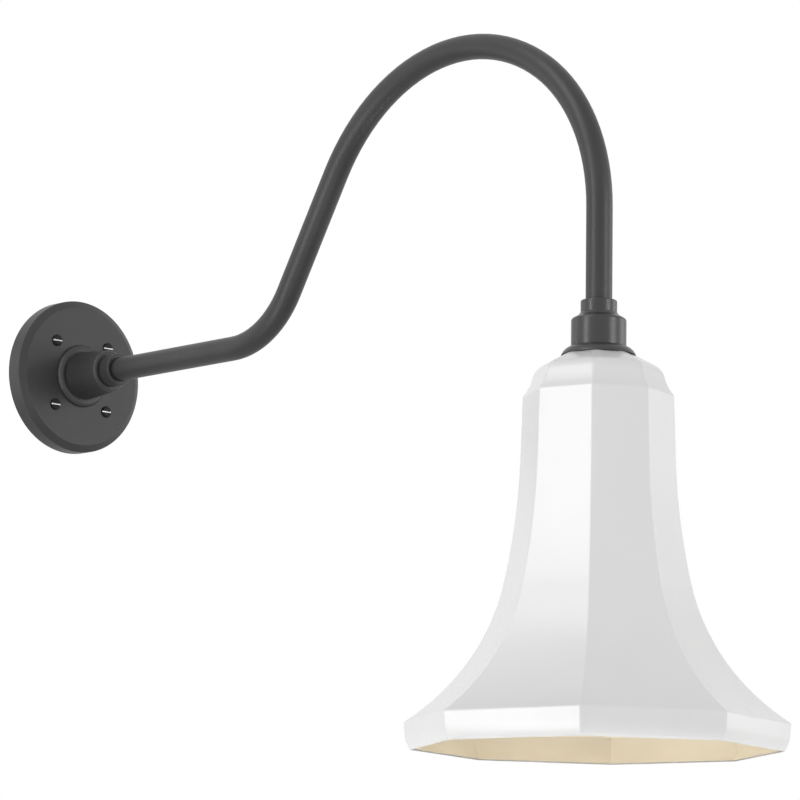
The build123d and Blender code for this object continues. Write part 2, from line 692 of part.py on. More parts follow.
def make_shade():
    """Thin bell, open below, with a hole in its crown for the stem."""
    outside = eight_sided(shade_half(0))
    deep = shade_half(2 * SHADE_WALL)
    hollow_half = offset(deep + mirror(deep, about=Plane.YZ), -SHADE_WALL, kind=Kind.INTERSECTION)
    right_side = Pos(BAND_HALF, CAP_FOOT) * Rectangle(2 * BAND_HALF, 4 * RIM_DROP)
    shell = outside - eight_sided(hollow_half & right_side)
    return SHADE_AXIS * (shell - rod(STEM_R + SLIP_FIT, WASHER_TOP, CAP_FOOT))


def make_shade_washer():
    """Broad washer under the shade's crown."""
    return SHADE_AXIS * ring(WASHER_R, STEM_R + SLIP_FIT, SHADE_NUT_TOP, WASHER_TOP)


def make_shade_nut():
    """Nut on the stem that clamps the shade against the cap."""
    return SHADE_AXIS * hex_nut(SHADE_NUT_FLATS, STEM_R + THREAD_FIT, HOLDER_HUB_TOP, SHADE_NUT_TOP)


def holder_screw_spots():
    """Centres of the two lampholder screws."""
    return [(0, -HOLDER_SCREW_OFFSET), (0, HOLDER_SCREW_OFFSET)]


def make_lampholder_cap():
    """Metal cap with a threaded hub on the stem."""
    cap = turned(
        (STEM_R + THREAD_FIT, HOLDER_TOP, 0),
        (HOLDER_CAP_R, HOLDER_TOP, 0),
        (HOLDER_CAP_R, HOLDER_CAP_TOP, HOLDER_CAP_ROUND),
        (HOLDER_HUB_R, HOLDER_CAP_TOP, 0),
        (HOLDER_HUB_R, HOLDER_HUB_TOP, 0),
        (STEM_R + THREAD_FIT, HOLDER_HUB_TOP, 0),
    )
    for spot in holder_screw_spots():
        cap -= Pos(*spot, 0) * rod(HOLDER_SCREW_R + SLIP_FIT, HOLDER_TOP, HOLDER_CAP_TOP)
    return SHADE_AXIS * cap


def rivet_spots():
    """Centres of the two rivets that hold the screw shell: one under the neutral post, one beside it."""
    return [(POST_OFFSET, 0), (0, POST_OFFSET)]


def make_lampholder_body():
    """Ceramic body: wiring space above, a floor, and the lamp's space below."""
    body = turned(
        (WIRING_R, HOLDER_TOP, 0),
        (HOLDER_R, HOLDER_TOP, 0),
        (HOLDER_R, HOLDER_FOOT, HOLDER_EDGE_R),
        (MOUTH_R, HOLDER_FOOT, 0),
        (MOUTH_R, BARREL_FOOT, 0),
        (SHELL_BORE_R + SHELL_T + THREAD_FIT, BARREL_FOOT, 0),
        (SHELL_BORE_R + SHELL_T + THREAD_FIT, BARREL_TOP + SHELL_T, 0),
        (SHELL_NECK_R + SHELL_T + THREAD_FIT, BARREL_TOP + SHELL_T, 0),
        (SHELL_NECK_R + SHELL_T + THREAD_FIT, LAMP_TOP, 0),
        (CONTACT_STEM_R + RUN_FIT, LAMP_TOP, 0),
        (CONTACT_STEM_R + RUN_FIT, HOLDER_FLOOR, 0),
        (WIRING_R, HOLDER_FLOOR, 0),
    )
    for spot in holder_screw_spots():
        bottom = HOLDER_CAP_TOP - HOLDER_SCREW_LENGTH - FACE_GAP
        body -= Pos(*spot, 0) * rod(HOLDER_SCREW_R + THREAD_FIT, bottom, HOLDER_TOP)
    for spot in rivet_spots():
        body -= Pos(*spot, 0) * rod(RIVET_R + THREAD_FIT, LAMP_TOP, HOLDER_FLOOR)
    return SHADE_AXIS * body


def make_lampholder_screws():
    """Two long screws through the metal cap into the ceramic."""
    screw = rod(HOLDER_SCREW_R, HOLDER_CAP_TOP - HOLDER_SCREW_LENGTH, HOLDER_CAP_TOP)
    head_top = HOLDER_CAP_TOP + HOLDER_SCREW_HEAD_H
    screw += rod(HOLDER_SCREW_HEAD_R, HOLDER_CAP_TOP, head_top)
    screw -= block(2 * HOLDER_SCREW_HEAD_R, SLOT_WIDTH, head_top - SLOT_DEPTH, head_top)
    return Compound([SHADE_AXIS * Pos(*spot, 0) * screw for spot in holder_screw_spots()])


def make_screw_shell():
    """Thin metal shell: a flange on the floor, a narrow neck and the wide barrel for the lamp."""
    shell = turned(
        (SHELL_FLANGE_R, LAMP_TOP, 0),
        (SHELL_NECK_R + SHELL_T, LAMP_TOP, 0),
        (SHELL_NECK_R + SHELL_T, BARREL_TOP + SHELL_T, 0),
        (SHELL_BORE_R + SHELL_T, BARREL_TOP + SHELL_T, 0),
        (SHELL_BORE_R + SHELL_T, BARREL_FOOT, 0),
        (SHELL_BORE_R, BARREL_FOOT, 0),
        (SHELL_BORE_R, BARREL_TOP, 0),
        (SHELL_NECK_R, BARREL_TOP, 0),
        (SHELL_NECK_R, LAMP_TOP - SHELL_T, 0),
        (SHELL_FLANGE_R, LAMP_TOP - SHELL_T, 0),
    )
    for spot in rivet_spots():
        shell -= Pos(*spot, 0) * rod(RIVET_R + THREAD_FIT, LAMP_TOP - SHELL_T, LAMP_TOP)
    return SHADE_AXIS * shell


def make_shell_rivets():
    """Two rivets through the floor and the shell's flange. The free one has a head above the floor."""
    foot = LAMP_TOP - SHELL_T
    under_post, beside = rivet_spots()
    shank = rod(RIVET_R, foot, HOLDER_FLOOR)
    headed = shank + rod(RIVET_HEAD_R, HOLDER_FLOOR, HOLDER_FLOOR + RIVET_HEAD_T)
    return Compound([SHADE_AXIS * Pos(*under_post, 0) * shank, SHADE_AXIS * Pos(*beside, 0) * headed])


def make_centre_contact():
    """Contact button on a stem through the floor, with a stop above the strap."""
    stop_low = STRAP_TOP + FACE_GAP
    stop_top = stop_low + CONTACT_STOP_T
    return SHADE_AXIS * turned(
        (0, CONTACT_TOP - CONTACT_T, 0),
        (CONTACT_R, CONTACT_TOP - CONTACT_T, CONTACT_ROUND),
        (CONTACT_R, CONTACT_TOP, 0),
        (CONTACT_STEM_R, CONTACT_TOP, 0),
        (CONTACT_STEM_R, stop_low, 0),
        (CONTACT_STOP_R, stop_low, 0),
        (CONTACT_STOP_R, stop_top, 0),
        (0, stop_top, 0),
    )


def coil_point(share, low, pitch):
    """Point and direction on the spring's wire at a share of one turn from its low end."""
    angle = 2 * math.pi * share
    point = Vector(SPRING_MEAN_R * math.cos(angle), SPRING_MEAN_R * math.sin(angle), low + pitch * share)
    climb = pitch / (2 * math.pi)
    along = Vector(-SPRING_MEAN_R * math.sin(angle), SPRING_MEAN_R * math.cos(angle), climb)
    return point, along.normalized()


def coil_span(start, start_way, end, end_way):
    """Two tangent arcs between two points of the spring's wire."""
    span = end - start
    ways = start_way + end_way
    spread = 2 * (1 - start_way.dot(end_way))
    reach = (math.sqrt(span.dot(ways) ** 2 + spread * span.dot(span)) - span.dot(ways)) / spread
    middle = (start + end + (start_way - end_way) * reach) * 0.5
    first = TangentArc(start, middle, tangent=start_way)
    return first, TangentArc(middle, end, tangent=first % 1)


def make_contact_spring():
    """Coil spring round the contact's stem, one unbroken wire in quarter turns."""
    low = CONTACT_TOP + SPRING_WIRE_R + SPRING_END_GAP
    high = LAMP_TOP - SPRING_WIRE_R - SPRING_END_GAP
    pitch = (high - low) / SPRING_TURNS
    quarters = [coil_point(quarter / 4, low, pitch) for quarter in range(4 * SPRING_TURNS + 1)]
    edges = []
    for (start, start_way), (end, end_way) in zip(quarters, quarters[1:]):
        edges.extend(coil_span(start, start_way, end, end_way))
    gaps = [(there - here).length for (here, _), (there, _) in zip(quarters, quarters[4:])]
    print(f"contact_spring: least gap to itself {min(gaps) - 2 * SPRING_WIRE_R:.2f}")
    return SHADE_AXIS * swept(Circle(SPRING_WIRE_R), Wire(edges), "contact_spring")


def post_spots():
    """Centres of the live and the neutral post."""
    return [(-POST_OFFSET, 0), (POST_OFFSET, 0)]


def make_terminal_posts():
    """Two metal posts on the lampholder's floor, each with a hole for a core and one for its screw."""
    top = HOLDER_FLOOR + POST_SIDE
    post = block(POST_SIDE, POST_SIDE, HOLDER_FLOOR, top)
    post -= rod(CORE_HOLE_R, top - POST_HOLE_DEPTH, top)
    cross = along_y(rod(POST_SCREW_R + THREAD_FIT, -POST_SIDE / 2, 0))
    post -= Pos(0, 0, top - POST_HOLE_DEPTH / 2) * cross
    return Compound([SHADE_AXIS * Pos(*spot, 0) * post for spot in post_spots()])


def make_post_screws():
    """Clamp screws in the sides of the two posts."""
    face = -POST_SIDE / 2
    screw = rod(POST_SCREW_R, face, -CORE_R - CORE_HOLE_GAP)
    screw += rod(POST_SCREW_HEAD_R, face - POST_SCREW_HEAD_T, face)
    height = HOLDER_FLOOR + POST_SIDE - POST_HOLE_DEPTH / 2
    return Compound([SHADE_AXIS * Pos(*spot, height) * along_y(screw) for spot in post_spots()])


def make_contact_strap():
    """Flat strap on the floor from the live post to the contact's stem."""
    start = -POST_OFFSET + POST_SIDE / 2
    end = CONTACT_STOP_R + FACE_GAP
    strap = Pos((start + end) / 2, 0, 0) * block(end - start, STRAP_WIDTH, HOLDER_FLOOR, STRAP_TOP)
    return SHADE_AXIS * (strap - rod(CONTACT_STEM_R + FACE_GAP, HOLDER_FLOOR, STRAP_TOP))


def make_lamp_lead(side, name):
    """Core from the flex down the stem to a post, on the side given by a sign."""
    inner = side * CORE_OFFSET
    outer = side * POST_OFFSET
    post_top = HOLDER_FLOOR + POST_SIDE
    route = [
        (inner, 0, CABLE_SHADE_END - FACE_GAP),
        (inner, 0, STEM_FOOT - LEAD_OUT_BELOW_STEM),
        (outer, 0, post_top + LEAD_DOWN_ABOVE_POST),
        (outer, 0, post_top - CORE_GRIP),
    ]
    return SHADE_AXIS * lead(route, name)


def make_supply_lead(side, pole, name):
    """Core from the flex to a pole of the terminal block."""
    start = side * CORE_OFFSET
    route = [
        (start, 0, CABLE_WALL_END - FACE_GAP),
        (start, 0, WIRE_DEPTH),
        (pole, -WALL_LEAD_DROP, WIRE_DEPTH),
        (pole, BLOCK_TOP - CLAMP_SCREW_INSET - CORE_R, WIRE_DEPTH),
    ]
    return WALL * lead(route, name)


def make_earth_lead(pole):
    """Core from the last pole of the block to the ring terminal's barrel."""
    low = BLOCK_TOP - CLAMP_SCREW_INSET - CORE_R
    barrel_end = EARTH_OFFSET - EARTH_BOSS_R - FACE_GAP
    route = [
        (pole, low, WIRE_DEPTH),
        (pole, low + EARTH_LEAD_RISE, WIRE_DEPTH),
        (EARTH_LEAD_OUT, 0, WIRE_DEPTH),
        (barrel_end - FACE_GAP, 0, WIRE_DEPTH),
    ]
    return WALL * lead(route, "earth_lead")


def make_terminal_block():
    """Moulded block with a through hole and two clamp screw holes for each pole."""
    width = POLE_PITCH * (POLES - 1) + 2 * BLOCK_END
    middle = BLOCK_TOP - BLOCK_HEIGHT / 2
    body = Pos(0, middle, 0) * block(width, BLOCK_HEIGHT, BLOCK_BACK, BLOCK_BACK + BLOCK_T)
    for pole in pole_spots():
        body -= Pos(pole, 0, WIRE_DEPTH) * along_y(rod(CORE_HOLE_R, BLOCK_TOP - BLOCK_HEIGHT, BLOCK_TOP))
    for spot in clamp_screw_spots():
        body -= Pos(*spot, 0) * rod(CLAMP_SCREW_R + THREAD_FIT, BLOCK_BACK, WIRE_DEPTH)
    for spot in block_screw_spots():
        body -= Pos(*spot, 0) * rod(BLOCK_SCREW_R + SLIP_FIT, BLOCK_BACK, BLOCK_BACK + BLOCK_T)
        head_r = BLOCK_SCREW_HEAD_R + SLIP_FIT
        body -= Pos(*spot, 0) * rod(head_r, BLOCK_BACK, BLOCK_BACK + BLOCK_SCREW_HEAD_T)
    return WALL * body


def clamp_screw_spots():
    """Centres of the block's clamp screws: one above and one below for each pole."""
    high = BLOCK_TOP - CLAMP_SCREW_INSET
    low = BLOCK_TOP - BLOCK_HEIGHT + CLAMP_SCREW_INSET
    return [(pole, height) for pole in pole_spots() for height in (high, low)]


def make_clamp_screws():
    """Short screws of the block, their tips just off the cores."""
    tip = WIRE_DEPTH - CORE_R - CLAMP_TIP_GAP
    screw = rod(CLAMP_SCREW_R, BLOCK_BACK, tip)
    screw -= block(2 * CLAMP_SCREW_R, SLOT_WIDTH / 2, BLOCK_BACK, BLOCK_BACK + SLOT_DEPTH / 2)
    return Compound([WALL * Pos(*spot, 0) * screw for spot in clamp_screw_spots()])


def make_block_screws():
    """Two screws that hold the block on the plate's bosses."""
    head_top = BLOCK_BACK + BLOCK_SCREW_HEAD_T
    screw = rod(BLOCK_SCREW_R, head_top, BLOCK_BACK + BLOCK_T + BLOCK_SCREW_GRIP)
    screw += rod(BLOCK_SCREW_HEAD_R, BLOCK_BACK, head_top)
    screw -= block(2 * BLOCK_SCREW_HEAD_R, SLOT_WIDTH / 2, BLOCK_BACK, BLOCK_BACK + SLOT_DEPTH / 2)
    return Compound([WALL * Pos(*spot, 0) * screw for spot in block_screw_spots()])


def make_earth_terminal():
    """Ring terminal: a flat ring, a tongue and a barrel crimped on the earth core."""
    low = WIRE_DEPTH - EARTH_RING_T / 2
    high = WIRE_DEPTH + EARTH_RING_T / 2
    barrel_end = -EARTH_BOSS_R - FACE_GAP
    barrel = along_x(rod(BARREL_R, barrel_end - BARREL_LENGTH, barrel_end))
    barrel -= along_x(rod(CORE_R + THREAD_FIT, barrel_end - BARREL_LENGTH, barrel_end))
    tongue = Pos(barrel_end / 2, 0, 0) * block(-barrel_end, TONGUE_WIDTH, low, high)
    terminal = rod(EARTH_RING_R, low, high) + tongue - rod(EARTH_SCREW_R + SLIP_FIT, low, high)
    return WALL * Pos(EARTH_OFFSET, 0, 0) * (terminal + Pos(0, 0, WIRE_DEPTH) * barrel)


def make_earth_screw():
    """Slotted screw through the ring terminal into the plate's boss."""
    seat = WIRE_DEPTH - EARTH_RING_T / 2
    screw = rod(EARTH_SCREW_R, seat, seat + EARTH_RING_T + EARTH_SCREW_GRIP)
    screw += rod(EARTH_HEAD_R, seat - EARTH_HEAD_T, seat)
    screw -= block(2 * EARTH_HEAD_R, SLOT_WIDTH, seat - EARTH_HEAD_T, seat - EARTH_HEAD_T + SLOT_DEPTH)
    return WALL * Pos(EARTH_OFFSET, 0, 0) * screw


LIVE_POLE, NEUTRAL_POLE, EARTH_POLE = pole_spots()

NODES = {
    "wall_plate": make_wall_plate(),
    "wall_gasket": make_wall_gasket(),
    "plate_screws": make_plate_screws(),
    "wall_hub": make_wall_hub(),
    "hub_lock_nut": make_hub_lock_nut(),
    "hub_collar": HUB_FACE * make_collar(HUB_BODY_H, HUB_COLLAR_H),
    "hub_seal": HUB_FACE * make_seal(HUB_BODY_H, HUB_COLLAR_H),
    "hub_set_screw": HUB_FACE * make_set_screw(HUB_SET_HEIGHT, HUB_SET_R),
    "terminal_block": make_terminal_block(),
    "block_screws": make_block_screws(),
    "clamp_screws": make_clamp_screws(),
    "earth_screw": make_earth_screw(),
    "earth_terminal": make_earth_terminal(),
    "earth_lead": make_earth_lead(EARTH_POLE),
    "supply_live_lead": make_supply_lead(-1, LIVE_POLE, "supply_live_lead"),
    "supply_neutral_lead": make_supply_lead(1, NEUTRAL_POLE, "supply_neutral_lead"),
    "arm_tube": make_arm_tube(),
    "arm_wall_nut": WALL * make_arm_nut(ARM_WALL_END),
    "arm_shade_nut": SHADE_AXIS * make_arm_nut(ARM_SHADE_END),
    "cable_bushes": Compound(
        [WALL * make_cable_bush(ARM_WALL_END), SHADE_AXIS * make_cable_bush(ARM_SHADE_END)]
    ),
    "supply_flex": make_supply_flex(),
    "shade_coupling": make_shade_coupling(),
    "coupling_collar": COUPLING * make_collar(COUPLING_SEAT, COUPLING_COLLAR_H),
    "coupling_seal": COUPLING * make_seal(COUPLING_SEAT, COUPLING_COLLAR_H),
    "coupling_set_screw": COUPLING * make_set_screw(COUPLING_SET_HEIGHT, BODY_R),
    "shade_stem": make_stem(),
    "shade_cap": make_shade_cap(),
    "cap_gasket": make_cap_gasket(),
    "shade": make_shade(),
    "shade_washer": make_shade_washer(),
    "shade_nut": make_shade_nut(),
    "lampholder_cap": make_lampholder_cap(),
    "lampholder_body": make_lampholder_body(),
    "lampholder_screws": make_lampholder_screws(),
    "screw_shell": make_screw_shell(),
    "shell_rivets": make_shell_rivets(),
    "terminal_posts": make_terminal_posts(),
    "post_screws": make_post_screws(),
    "contact_strap": make_contact_strap(),
    "contact_spring": make_contact_spring(),
    "centre_contact": make_centre_contact(),
    "lamp_live_lead": make_lamp_lead(-1, "lamp_live_lead"),
    "lamp_neutral_lead": make_lamp_lead(1, "lamp_neutral_lead"),
}

os.makedirs("parts", exist_ok=True)
for name, solid in NODES.items():
    export_step(solid, f"parts/{name}.step")
print(f"{len(NODES)} nodes written")
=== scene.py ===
# %% [markdown]
# # Gooseneck wall light
#
# A round plate on the wall carries a hub. A bent tube leaves the hub, climbs, arches over and comes
# straight down to an eight-sided bell shade of enamelled steel. This lesson dresses the light's
# solids: it loads them as a fixed frame, remakes the pieces whose form a plain solid can't show,
# gives every surface a finish, and sets up the lamps and the camera.

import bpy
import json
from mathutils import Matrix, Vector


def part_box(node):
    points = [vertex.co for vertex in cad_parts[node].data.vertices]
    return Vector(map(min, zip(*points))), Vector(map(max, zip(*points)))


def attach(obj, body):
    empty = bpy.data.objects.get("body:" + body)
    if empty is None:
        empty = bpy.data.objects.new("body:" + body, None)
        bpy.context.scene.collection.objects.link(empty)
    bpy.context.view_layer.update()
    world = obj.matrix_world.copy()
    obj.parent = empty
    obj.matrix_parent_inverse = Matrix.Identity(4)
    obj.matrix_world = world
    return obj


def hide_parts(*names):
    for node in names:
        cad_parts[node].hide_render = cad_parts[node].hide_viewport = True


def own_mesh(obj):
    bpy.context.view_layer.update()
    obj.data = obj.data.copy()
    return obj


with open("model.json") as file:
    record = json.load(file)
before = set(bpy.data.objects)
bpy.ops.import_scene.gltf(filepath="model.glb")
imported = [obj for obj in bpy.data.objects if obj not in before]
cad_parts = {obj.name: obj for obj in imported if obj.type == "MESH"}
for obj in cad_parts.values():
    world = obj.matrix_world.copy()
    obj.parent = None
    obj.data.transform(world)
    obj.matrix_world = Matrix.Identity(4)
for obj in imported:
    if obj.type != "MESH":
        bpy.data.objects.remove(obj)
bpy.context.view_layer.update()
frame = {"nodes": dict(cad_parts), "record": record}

# %% [markdown]
# New pieces are shaped in bmesh, where each operator works on plain geometry and needs no
# selection. One helper turns a finished bmesh into an object that stays at the origin, rides on a
# body of the frame and carries the materials that it is given.

# %% A helper for new pieces
import math

import bmesh
import bpy
from mathutils import Matrix, Vector


def make_piece(name, bm, body, finishes):
    """Object from a bmesh, smooth shaded, riding on a body of the frame."""
    mesh = bpy.data.meshes.new(name)
    bm.to_mesh(mesh)
    bm.free()
    mesh.shade_smooth()
    for finish in finishes:
        mesh.materials.append(finish)
    piece = bpy.data.objects.new(name, mesh)
    bpy.context.scene.collection.objects.link(piece)
    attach(piece, body)
    print(name, "has", len(mesh.polygons), "faces before its modifiers")
    return piece


# %% [markdown]
# Nearly every finish here has a fine grain and a slow drift of tone over the surface: the pebble of
# a powder coat, the ripple of enamel, the bloom on rubber. Both come from noise on Object
# coordinates, so they sit still on the piece. A node group holds the pair once, and each finish
# sets its own scales.

# %% Node group: grain and patches
def start_group(name, inputs, outputs):
    """Empty shader group with its named number sockets, and its two end nodes."""
    group = bpy.data.node_groups.new(name, "ShaderNodeTree")
    for label, value in inputs.items():
        socket = group.interface.new_socket(label, in_out="INPUT", socket_type="NodeSocketFloat")
        socket.default_value = value
    for label in outputs:
        group.interface.new_socket(label, in_out="OUTPUT", socket_type="NodeSocketFloat")
    return group, group.nodes.new("NodeGroupInput"), group.nodes.new("NodeGroupOutput")


NOISE_LOW, NOISE_HIGH = 0.35, 0.65


def spread_patches(group, noise, target):
    """Stretch a noise's middle range to the full range from 0 to 1."""
    stretch = group.nodes.new("ShaderNodeMapRange")
    stretch.inputs["From Min"].default_value = NOISE_LOW
    stretch.inputs["From Max"].default_value = NOISE_HIGH
    group.links.new(noise.outputs["Fac"], stretch.inputs["Value"])
    group.links.new(stretch.outputs["Result"], target)


grain, grain_in, grain_out = start_group(
    "grain_and_patches", {"Grain Scale": 1500.0, "Patch Scale": 15.0}, ["Grain", "Patch"]
)
place = grain.nodes.new("ShaderNodeTexCoord")
for source, target, detail in (("Grain Scale", "Grain", 2.0), ("Patch Scale", "Patch", 3.0)):
    noise = grain.nodes.new("ShaderNodeTexNoise")
    noise.inputs["Detail"].default_value = detail
    grain.links.new(place.outputs["Object"], noise.inputs["Vector"])
    grain.links.new(grain_in.outputs[source], noise.inputs["Scale"])
    spread_patches(grain, noise, grain_out.inputs[target])
print("group", grain.name, "puts out", [socket.name for socket in grain_out.inputs if socket.name])

# %% [markdown]
# Drawn, rolled or turned metal has fine lines that run one way. The second group squeezes its noise
# along one axis with a Mapping node, so the grain becomes streaks. It has the same outputs, so one
# recipe serves both groups.

# %% Node group: drawn lines
STREAK = 0.12
lines, lines_in, lines_out = start_group(
    "drawn_lines", {"Grain Scale": 900.0, "Patch Scale": 60.0}, ["Grain", "Patch"]
)
place = lines.nodes.new("ShaderNodeTexCoord")
squeeze = lines.nodes.new("ShaderNodeMapping")
squeeze.inputs["Scale"].default_value = (STREAK, 1.0, 1.0)
lines.links.new(place.outputs["Object"], squeeze.inputs["Vector"])
for source, target, vector in (
    ("Grain Scale", "Grain", squeeze.outputs["Vector"]),
    ("Patch Scale", "Patch", place.outputs["Object"]),
):
    noise = lines.nodes.new("ShaderNodeTexNoise")
    lines.links.new(vector, noise.inputs["Vector"])
    lines.links.new(lines_in.outputs[source], noise.inputs["Scale"])
    spread_patches(lines, noise, lines_out.inputs[target])
print("group", lines.name, "puts out", [socket.name for socket in lines_out.inputs if socket.name])

# %% [markdown]
# The recipe for a finish: patches blend two tones into the base colour, the grain moves the
# roughness between two values and lifts a shallow bump. Values that are the same all over the
# surface go straight on the shader. A Mix node has sockets for each kind of data under the same
# names, so its colour sockets are picked by number.

# %% A recipe for finishes
MIX_FACTOR, MIX_A, MIX_B, MIX_COLOUR = 0, 6, 7, 2


def make_finish(name, group, scales, tones, roughness, relief_mm, **plain):
    """Material whose tone, gloss and relief follow a group."""
    material = bpy.data.materials.new(name)
    material.use_nodes = True
    nodes, links = material.node_tree.nodes, material.node_tree.links
    shader = nodes["Principled BSDF"]
    pattern = nodes.new("ShaderNodeGroup")
    pattern.node_tree = group
    for label, scale in zip(("Grain Scale", "Patch Scale"), scales):
        pattern.inputs[label].default_value = scale
    tone = nodes.new("ShaderNodeMix")
    tone.data_type = "RGBA"
    for socket, colour in zip((MIX_A, MIX_B), tones):
        tone.inputs[socket].default_value = (*colour, 1.0)
    links.new(pattern.outputs["Patch"], tone.inputs[MIX_FACTOR])
    links.new(tone.outputs[MIX_COLOUR], shader.inputs["Base Color"])
    gloss = nodes.new("ShaderNodeMapRange")
    for label, value in zip(("To Min", "To Max"), roughness):
        gloss.inputs[label].default_value = value
    links.new(pattern.outputs["Grain"], gloss.inputs["Value"])
    links.new(gloss.outputs["Result"], shader.inputs["Roughness"])
    bump = nodes.new("ShaderNodeBump")
    bump.inputs["Strength"].default_value = 1.0
    bump.inputs["Distance"].default_value = relief_mm / 1000
    links.new(pattern.outputs["Grain"], bump.inputs["Height"])
    links.new(bump.outputs["Normal"], shader.inputs["Normal"])
    for label, value in plain.items():
        shader.inputs[label.replace("_", " ")].default_value = value
    return material


# %% [markdown]
# The plate, the arm and the castings share one charcoal powder coat. Close up it is a fine pebble,
# so its highlights are broad and dull. The grain is about 0.7 mm across, and the tone drifts only a
# little. On the small castings over the shade the coat flows out smoother, so they show clearer
# highlights.

# %% Finish: charcoal coat
finishes = {}
finishes["charcoal_coat"] = make_finish(
    "charcoal_coat",
    grain,
    scales=(1400.0, 18.0),
    tones=((0.022, 0.022, 0.022), (0.028, 0.028, 0.028)),
    roughness=(0.38, 0.48),
    relief_mm=0.008,
    Specular_IOR_Level=0.49,
)
smooth_coat = make_finish(
    "smooth_coat",
    grain,
    scales=(1400.0, 18.0),
    tones=((0.027, 0.027, 0.027), (0.033, 0.033, 0.033)),
    roughness=(0.29, 0.38),
    relief_mm=0.005,
    Specular_IOR_Level=0.54,
)
print("finishes so far:", sorted(finishes))

# %% [markdown]
# The shade is pressed steel with a fired enamel: white outside, warm cream inside, and grey on the
# rim faces. Enamel is glassy but not flat: it has a faint ripple a few millimetres across. The
# three surfaces are three materials of one piece.

# %% Finish: enamel
finishes["white_enamel"] = make_finish(
    "white_enamel",
    grain,
    scales=(260.0, 9.0),
    tones=((0.785, 0.785, 0.783), (0.81, 0.81, 0.807)),
    roughness=(0.19, 0.26),
    relief_mm=0.01,
)
cream_enamel = make_finish(
    "cream_enamel",
    grain,
    scales=(260.0, 12.0),
    tones=((0.83, 0.758, 0.62), (0.87, 0.798, 0.66)),
    roughness=(0.28, 0.38),
    relief_mm=0.015,
)
grey_rim = make_finish(
    "grey_rim",
    grain,
    scales=(700.0, 80.0),
    tones=((0.30, 0.29, 0.27), (0.42, 0.41, 0.38)),
    roughness=(0.4, 0.55),
    relief_mm=0.02,
)
print("enamels:", [finishes["white_enamel"].name, cream_enamel.name, grey_rim.name])

# %% [markdown]
# The metals. The plate's screws are darkened, with bare metal where a driver has to go. Nuts,
# washers and small screws are zinc plated, and what carries current is brass. All use the drawn
# lines.

# %% Finish: metals
finishes["dark_screws"] = make_finish(
    "dark_screws",
    lines,
    scales=(1200.0, 120.0),
    tones=((0.009, 0.009, 0.009), (0.014, 0.014, 0.014)),
    roughness=(0.5, 0.62),
    relief_mm=0.01,
    Specular_IOR_Level=0.2,
)
bare_slot = make_finish(
    "bare_slot",
    lines,
    scales=(1500.0, 200.0),
    tones=((0.52, 0.52, 0.51), (0.70, 0.70, 0.69)),
    roughness=(0.25, 0.38),
    relief_mm=0.01,
    Metallic=1.0,
)
finishes["zinc_steel"] = make_finish(
    "zinc_steel",
    lines,
    scales=(1100.0, 90.0),
    tones=((0.50, 0.51, 0.53), (0.64, 0.65, 0.66)),
    roughness=(0.26, 0.42),
    relief_mm=0.012,
    Metallic=1.0,
)
finishes["brass"] = make_finish(
    "brass",
    lines,
    scales=(1100.0, 110.0),
    tones=((0.58, 0.40, 0.16), (0.74, 0.55, 0.25)),
    roughness=(0.2, 0.36),
    relief_mm=0.008,
    Metallic=1.0,
)
finishes["spring_steel"] = make_finish(
    "spring_steel",
    lines,
    scales=(1600.0, 150.0),
    tones=((0.40, 0.40, 0.41), (0.52, 0.52, 0.53)),
    roughness=(0.24, 0.36),
    relief_mm=0.006,
    Metallic=1.0,
)
print("finishes so far:", sorted(finishes))

# %% [markdown]
# What is left is soft or moulded: seals and gaskets in black rubber, the flex and bushes in black
# plastic, a white terminal block, coloured sleeves on the cores, and the lampholder's glazed
# ceramic. Each row gives two tones, the roughness, the scales and the relief in millimetres.

# %% Finish: rubber, plastic and ceramic
soft_kinds = {
    "soft_black": (
        ((0.016, 0.016, 0.016), (0.030, 0.030, 0.029)),
        (0.72, 0.9), (900.0, 40.0), 0.03,
    ),
    "moulded_black": (
        ((0.024, 0.024, 0.025), (0.034, 0.034, 0.034)),
        (0.42, 0.55), (1300.0, 50.0), 0.015,
    ),
    "moulded_white": (
        ((0.72, 0.71, 0.67), (0.78, 0.77, 0.73)),
        (0.4, 0.52), (1300.0, 50.0), 0.015,
    ),
    "brown_sleeve": (
        ((0.10, 0.042, 0.020), (0.15, 0.065, 0.032)),
        (0.35, 0.45), (1000.0, 90.0), 0.008,
    ),
    "blue_sleeve": (
        ((0.035, 0.12, 0.34), (0.05, 0.16, 0.42)),
        (0.35, 0.45), (1000.0, 90.0), 0.008,
    ),
    "green_sleeve": (
        ((0.07, 0.28, 0.08), (0.10, 0.36, 0.10)),
        (0.35, 0.45), (1000.0, 90.0), 0.008,
    ),
    "porcelain": (
        ((0.79, 0.78, 0.74), (0.83, 0.82, 0.78)),
        (0.1, 0.18), (300.0, 30.0), 0.01,
    ),
}
for name, (tones, roughness, scales, relief_mm) in soft_kinds.items():
    finishes[name] = make_finish(name, grain, scales, tones, roughness, relief_mm)
print("finishes in all:", len(finishes))

# %% [markdown]
# Each node of the frame names its finish in the record, so one loop dresses them all. Their meshes
# stay as they are.

# %% Dress the frame's nodes
for part in frame["record"]["subparts"]:
    mesh = frame["nodes"][part["node"]].data
    mesh.materials.clear()
    mesh.materials.append(finishes[part["material_slot"]])
small_castings = ("shade_coupling", "coupling_collar", "shade_cap")
for node in small_castings:
    frame["nodes"][node].data.materials[0] = smooth_coat

# %% [markdown]
# On the plate's four screws the slot is bright and the rest dark. The screws' mesh isn't changed:
# only the faces on the slot's floor, found by where they lie in the head, take the second material.

